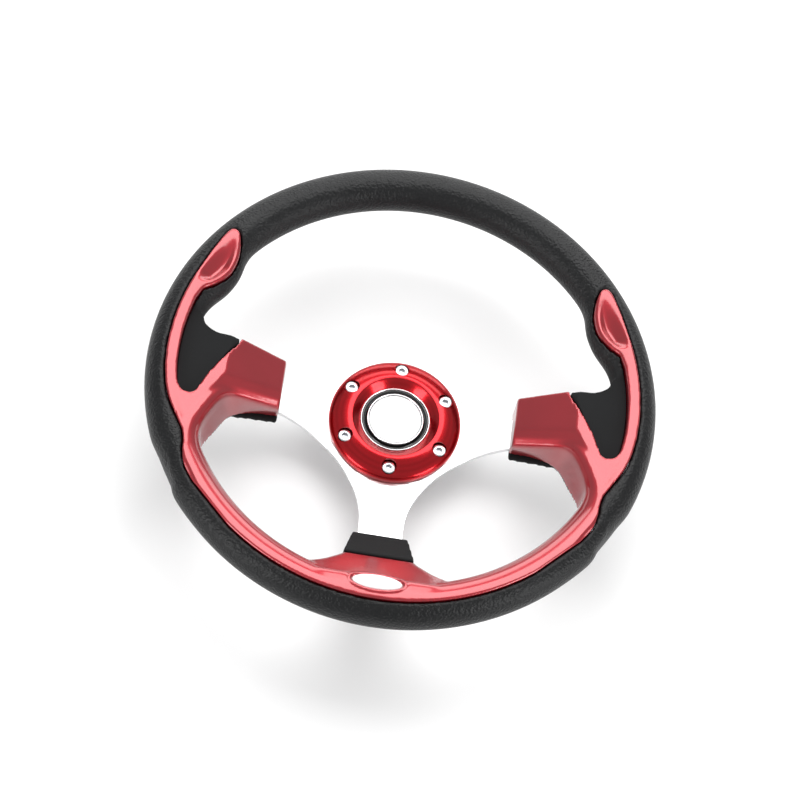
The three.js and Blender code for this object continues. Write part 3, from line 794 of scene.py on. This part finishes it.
BACK = 4
FOAM_GAP = 0.3
BACK_IN = COVER_IN + 0.4
BACK_RIGHT = [(BACK_IN, -15.6), (104, -22), (112, -33), (118, -46), (136, -42), (143, -20),
              (143, 15.5), (BACK_IN, 15.5)]
BACK_LOWER = [(16.6, -88.9), (21.2, -111), (29, -120), (33, -143)]
COVER_SCREW_REACH = (87, 108)
ACCESS_R, ACCESS_DEEP = 4, 14


def slab(outline, across, near, top):
    """Foam behind an arm, as thick as BACK, that slopes with the arm."""
    bm = prism(outline, -20, 90)
    start = Vector(across) * near
    upward = Vector((0, 0, 1)) - Vector(across) * PLATE_SLOPE
    sliced(bm, start + Vector((0, 0, plate_z(near) - BACK)), -upward)
    sliced(bm, start + Vector((0, 0, plate_z(near) + top)), upward)
    return workpiece("arm_back", bm)


def access_holes():
    """Holes in the foam through which the cover screws are driven."""
    made = []
    for turn in (0, math.pi):
        for reach in COVER_SCREW_REACH:
            bm = prism(arc(ACCESS_R, 0, 345, 23), -ACCESS_DEEP, -FOAM_GAP)
            place_on_arm = (Matrix.Rotation(turn, 4, "Z") @ Matrix.Translation((reach, 0, plate_z(reach)))
                            @ Matrix.Rotation(-math.atan(PLATE_SLOPE), 4, "Y"))
            bmesh.ops.transform(bm, matrix=place_on_arm, verts=bm.verts)
            made.append(workpiece("access", bm))
    return made


# %% Clear the foam off the bare arms and make the backs
BARE_IN, BARE_HALF = 50, 32
for side in (1, -1):
    bare = ((BARE_IN, -BARE_HALF), (BACK_IN, -BARE_HALF), (BACK_IN, BARE_HALF), (BARE_IN, BARE_HALF))
    corners = [(side * x, y) for x, y in bare]
    combine(grip, "DIFFERENCE", workpiece("bare_arm", prism(corners[::side], -20, 90)))
backs = [slab(BACK_RIGHT, (1, 0, 0), COVER_IN, -FOAM_GAP),
         slab(flipped(BACK_RIGHT), (-1, 0, 0), COVER_IN, -FOAM_GAP),
         slab(BACK_LOWER[::-1] + [(-x, y) for x, y in BACK_LOWER], (0, -1, 0), COLLAR[0][0], BACK)]
for i, hole in enumerate(access_holes()):
    combine(backs[i // 2], "DIFFERENCE", hole)

# %% Join the foam's parts, which its skin then fuses
LEAST_FOAM_FACES = 50000
whole = bmesh.new()
for part in [grip, collar()] + backs:
    whole.from_mesh(part.data)
    if part is not grip:
        bpy.data.objects.remove(part)
whole.to_mesh(grip.data)
whole.free()
print("grip", len(grip.data.polygons), "faces before its skin")
if len(grip.data.polygons) < LEAST_FOAM_FACES:
    raise RuntimeError("a cut has emptied the foam")

# %% Give the grip its skin and press the thumb pockets
GRIP_VOXEL = 1.3
POCKET_Z = 57.5


def pocket(spot, normal):
    """Flattens the foam beside the strips to the pocket floor."""
    reach = math.hypot(spot.x, spot.y)
    if spot.z > POCKET_Z and normal.z > 0 and -40 < spot.y < 46:
        inside = (1 - smoothstep(26, 42, spot.y)) * (1 - smoothstep(141.5, 146.5, reach))
        spot.z = POCKET_Z + (spot.z - POCKET_Z) * (1 - inside)
    return spot


nudged(melted(grip, GRIP_VOXEL, 3), pocket)
finished(grip, foam, "wheel", ["rim_grip"])

# %% [markdown]
# ## The spoke plate
# One sheet of 3 mm aluminium: a disc with three arms, cut to an outline whose corners between the arms
# are wide arcs that just touch the hub disc, which keeps metal round all six screws. A filled curve
# makes the plate with its holes and its slightly broken edges in one go. The arms are then bent up,
# smoothly, over a few millimetres.

# %% Outline of the plate
HUB_R, SIDE_ARM, LOWER_ARM, ARM_FILLET, TIP_R = 46, 10.2, 14, 36, 147.5
# the arc touches both arms and the disc: (LOWER_ARM + R)^2 + (SIDE_ARM + R)^2 = (HUB_R + R)^2
arms_less_disc = LOWER_ARM + SIDE_ARM - HUB_R
WEB_R = -arms_less_disc + math.sqrt(arms_less_disc ** 2 - (LOWER_ARM ** 2 + SIDE_ARM ** 2 - HUB_R ** 2))
print("lower web radius", round(WEB_R, 2), "mm, nearest the axis at",
      round(math.hypot(LOWER_ARM + WEB_R, SIDE_ARM + WEB_R) - WEB_R, 2))
reach_out = HUB_R + ARM_FILLET
meeting = math.asin((SIDE_ARM + ARM_FILLET) / reach_out)


def moved(points, cx, cy):
    return [(x + cx, y + cy) for x, y in points]


plate_right = [
    (0, -TIP_R + 8), (LOWER_ARM, -TIP_R + 8),
    *moved(arc(WEB_R, 180, 90, 40), LOWER_ARM + WEB_R, -(SIDE_ARM + WEB_R)),
    (TIP_R - 8, -SIDE_ARM), (TIP_R - 8, SIDE_ARM),
    *moved(arc(ARM_FILLET, -90, -180 + math.degrees(meeting), 16),
           reach_out * math.cos(meeting), SIDE_ARM + ARM_FILLET),
    *arc(HUB_R, math.degrees(meeting) + 4, 90, 12),
]
plate_outline = plate_right + flipped(plate_right[1:-1])
screw_angles = [90 - 60 * i for i in range(6)]
SCREW_CIRCLE_R = 35


# %% Cut and bend the plate
def flat_plate(name, loops, thick, edge):
    """A filled curve with holes, raised to a thickness with rounded edges, as a mesh."""
    shape = bpy.data.curves.new(name, "CURVE")
    shape.dimensions = "2D"
    shape.fill_mode = "BOTH"
    shape.extrude = thick / 2 - edge
    shape.bevel_depth = edge
    shape.bevel_resolution = 2
    shape.offset = -edge
    for points in loops:
        line = shape.splines.new("POLY")
        line.points.add(len(points) - 1)
        for p, (x, y) in zip(line.points, points):
            p.co = (x, y, 0, 1)
        line.use_cyclic_u = True
    flat = bpy.data.objects.new(name, shape)
    scene.collection.objects.link(flat)
    mesh = bpy.data.meshes.new_from_object(
        flat.evaluated_get(bpy.context.evaluated_depsgraph_get()))
    bpy.data.objects.remove(flat)
    made = bpy.data.objects.new(name, mesh)
    scene.collection.objects.link(made)
    return made


def hole_at(angle, circle, r, steps=24):
    a = math.radians(angle)
    return moved(arc(r, 0, 360 - 360 / steps, steps - 1), circle * math.cos(a), circle * math.sin(a))


plate_loops = [plate_outline, arc(22.4, 0, 357, 119)]
plate_loops += [hole_at(a, SCREW_CIRCLE_R, 3.0) for a in screw_angles]
PLATE = 3.0
spokes = flat_plate("spoke_plate", plate_loops, PLATE, 0.35)
BEND_HALF = 5.0


def bent(spot, _):
    """Lifts each arm along its slope, with a smooth bend at its root."""
    past = max(spot.x, -spot.x, -spot.y) - PLATE_BEND
    if past > BEND_HALF:
        rise = past
    elif past > -BEND_HALF:
        rise = (past + BEND_HALF) ** 2 / (4 * BEND_HALF)
    else:
        rise = 0
    return spot + Vector((0, 0, PLATE / 2 + PLATE_SLOPE * rise))


bm = bmesh.new()
bm.from_mesh(spokes.data)
bmesh.ops.remove_doubles(bm, verts=bm.verts, dist=1e-3)
for across in ((1, 0, 0), (-1, 0, 0), (0, -1, 0)):
    for k in range(-5, 6):
        bmesh.ops.bisect_plane(bm, geom=bm.verts[:] + bm.edges[:] + bm.faces[:],
                               plane_co=Vector(across) * (PLATE_BEND + k), plane_no=across)
bmesh.ops.recalc_face_normals(bm, faces=bm.faces)
bm.to_mesh(spokes.data)
bm.free()
nudged(spokes, bent)
finished(spokes, aluminium, "wheel", ["spoke_frame"], smooth_angle=24)

# %% [markdown]
# ## The hub ring
# A turned ring with a domed face that dips in a funnel towards the horn button. Six counterbores take
# the screw heads. The profile is spun, and the counterbores are cut with straight turned tools.

# %% Spin the hub ring and sink the counterbores
dome = curve([(42.5, 3.4), (42.5, 6.0), (42.2, 7.0), (41.4, 8.0), (40, 9.0), (37, 10.5), (34, 11.7),
              (31.4, 12.5), (29.4, 12.9), (28.2, 12.8), (27.2, 12.3), (22.9, 8.9), (22.6, 8.4)], 4)
ring = workpiece("hub_ring_turned", turning(
    [(26.3, 3.4), *dome, (22.6, 5.9), (26.3, 5.9), (26.3, 3.4)], 144))
for angle in screw_angles:
    bore = turning([(0, 4.9), (4.8, 4.9), (4.8, 20), (0, 20)], 40)
    a = math.radians(angle)
    bmesh.ops.translate(bore, verts=bore.verts,
                        vec=(SCREW_CIRCLE_R * math.cos(a), SCREW_CIRCLE_R * math.sin(a), 0))
    combine(ring, "DIFFERENCE", workpiece("bore", bore))
finished(ring, anodised, "wheel", ["hub_ring"], smooth_angle=30)

# %% [markdown]
# ## The hub screws
# M5 socket cap screws. The head is spun, its side is knurled by drawing every second rib in a little,
# and the hexagon socket is cut with a six-sided bar.

# %% Six cap screws
HEAD_R, HEAD_LOW, HEAD_HIGH, SOCKET_R = 4.25, 5.2, 9.7, 2.3
KNURLS = 48


def cap_screw():
    bm = turning([(0, -9), (2.1, -9), (2.5, -8.4), (2.5, HEAD_LOW), (HEAD_R - 0.1, HEAD_LOW),
                  (HEAD_R, HEAD_LOW + 0.15), (HEAD_R, HEAD_HIGH - 0.6), (HEAD_R - 0.15, HEAD_HIGH - 0.2),
                  (HEAD_R - 0.5, HEAD_HIGH), (0, HEAD_HIGH)], KNURLS)
    for v in bm.verts:
        rib = round(math.degrees(math.atan2(v.co.y, v.co.x)) / (360 / KNURLS))
        reach = math.hypot(v.co.x, v.co.y)
        if reach > HEAD_R - 0.05 and rib % 2:
            v.co.x *= 1 - 0.12 / reach
            v.co.y *= 1 - 0.12 / reach
    return combine(workpiece("screw", bm), "DIFFERENCE", workpiece("socket", prism(
        arc(SOCKET_R, 0, 300, 5), HEAD_HIGH - 2.5, 20)))


blank = cap_screw()
for i, angle in enumerate(screw_angles):
    screw = copy_of(blank, f"cap_screw_{i + 1}")
    a = math.radians(angle)
    screw.data.transform(Matrix.Translation(
        (SCREW_CIRCLE_R * math.cos(a), SCREW_CIRCLE_R * math.sin(a), 0)) @ Matrix.Rotation(a * 1.7, 4, "Z"))
    finished(screw, zinc, "wheel", [f"hub_screw_{i + 1}"], smooth_angle=30)
bpy.data.objects.remove(blank)

# %% [markdown]
# ## The horn button
# A black plastic housing snaps into the hub bore. A chrome bezel lies on its flange, a black sloping
# band runs down inside it, and the plunger carries a white domed cap in a thin chrome ring. The cap,
# its ring and the plunger travel together; everything else stays.

# %% Spin the housing, the bezel, the cap and the cap's ring
housing = workpiece("horn_housing_moulded", turning([
    (20.2, -14), (21.8, -14), (22, -13.8), (22, 3.3), (26, 3.3), (26, 5.4), (25.8, 5.6), (22.2, 5.6),
    (22, 5.8), (22, 7), (21.2, 7), (21.1, 7.1), *curve([(21, 8.2), (20.4, 8.1), (19.4, 7.7), (18.7, 7.3),
    (18.5, 7.0)], 3), (18.5, 6.2), (19.6, 6.2), (19.6, -9.4), (20.2, -9.4), (20.2, -12), (21, -12),
    (21, -13), (20.2, -13), (20.2, -14)], 96))
finished(housing, gloss_black, "wheel", ["horn_housing"], smooth_angle=35)
bezel = workpiece("horn_bezel_polished", turning(
    [(21.3, 7.3), (22.3, 7.3), *curve([(22.3, 8.3), (22.2, 8.7), (21.9, 8.9), (21.6, 8.85), (21.35, 8.6),
    (21.3, 8.3)], 4), (21.3, 7.3)], 128))
finished(bezel, chrome, "wheel", ["horn_bezel"], smooth_angle=50)
cap = workpiece("horn_cap_domed", turning(
    [(0, 8.2), (16.6, 8.2), (16.8, 8.35), *curve([(16.8, 8.7), (16.5, 9.0), (15.5, 9.45), (12, 10.35),
    (8, 10.95), (4, 11.22), (0, 11.3)], 4)], 96))
finished(cap, gloss_white, "horn_button", ["horn_cap"], smooth_angle=50)
cap_ring = workpiece("horn_cap_ring_polished", turning(
    [(17.1, 8.2), (18.1, 8.2), *curve([(18.1, 8.8), (18.0, 9.1), (17.75, 9.3), (17.4, 9.28),
    (17.15, 9.05), (17.1, 8.8)], 4), (17.1, 8.2)], 128))
finished(cap_ring, chrome, "horn_button", ["horn_cap_ring"], smooth_angle=50)
plunger = workpiece("horn_plunger_moulded", turning(
    [(0, 6.5), (11, 6.5), (11, 3.4), (19.0, 3.4), (19.2, 3.6), (19.2, 5.7), (19.0, 5.9), (18.1, 5.9),
     (18.1, 7.8), (18.0, 7.9), (0, 7.9)], 96))
finished(plunger, dark_nylon, "horn_button", ["horn_plunger"], smooth_angle=30)

# %% [markdown]
# ## Inner parts
# The steel ring, rivets, cover screws, contacts, spring, base, snap ring and blades have the right
# shape already. Each keeps its mesh and gets the finish of its real material.

# %% Finish the inner parts
looks = {
    "rim_core": steel, "horn_spring": steel, "horn_snap_ring": steel, "horn_base": dark_nylon,
    "horn_contact_upper": brass, "horn_contact_lower": brass, "horn_terminal_signal": brass,
    "horn_terminal_ground": brass,
}
for name, node in nodes.items():
    if name.startswith(("spoke_rivet", "cover_screw")):
        looks[name] = zinc
    if name in looks:
        node.data.materials.clear()
        node.data.materials.append(looks[name])
print(len(looks), "inner parts finished")

# %% [markdown]
# ## Floor and lights
# A plain pale floor, one large soft light high behind the wheel whose reflection brightens every
# level face, one lower behind it, and two low in front, which draw the bright lines along the beads.

# %% Floor
floor_z = cad_box[0].z * 1000
floor = workpiece("floor", prism([(-4000, -4000), (4000, -4000), (4000, 4000), (-4000, 4000)],
                                 floor_z - 20, floor_z - 1))
floor.data.transform(Matrix.Scale(MM, 4))
paper, tree, shader, place = finish("pale_paper", "F7F7F7", 0.9, specular_ior_level=0.1)
fibre = add(tree, "ShaderNodeTexNoise", {"Scale": per_mm(300), "Detail": 2.0}, {"Vector": place})
tone = add(tree, "ShaderNodeMix", {"data_type": "RGBA", 6: linear("F6F6F6"), 7: linear("F9F9F9")},
           {0: fibre.outputs["Fac"]})
tree.links.new(tone.outputs[2], shader.inputs["Base Color"])
floor.data.materials.append(paper)


# %% Lights
def softbox(name, way, distance, width, height, watts):
    """A large area light that faces the wheel from a direction."""
    lamp = bpy.data.lights.new(name, "AREA")
    lamp.shape = "RECTANGLE"
    lamp.size = width
    lamp.size_y = height
    lamp.energy = watts
    light = bpy.data.objects.new(name, lamp)
    scene.collection.objects.link(light)
    way = Vector(way).normalized()
    light.location = way * distance
    light.rotation_euler = way.to_track_quat("Z", "Y").to_euler()
    return light


softbox("overhead_softbox", (0.04, 0.47, 0.88), 1.7, 1.6, 1.1, 21)
softbox("back_softbox", (0.0, 0.93, 0.36), 1.8, 2.0, 0.8, 15)
softbox("left_softbox", (-0.66, -0.6, 0.45), 1.5, 0.6, 0.8, 9)
softbox("right_softbox", (0.74, -0.52, 0.42), 1.5, 0.6, 0.8, 9)
world = bpy.data.worlds.new("studio")
scene.world = world
world.use_nodes = True
world.node_tree.nodes["Background"].inputs["Color"].default_value = (1, 1, 1, 1)
world.node_tree.nodes["Background"].inputs["Strength"].default_value = 0.5
scene.view_settings.view_transform = "Standard"
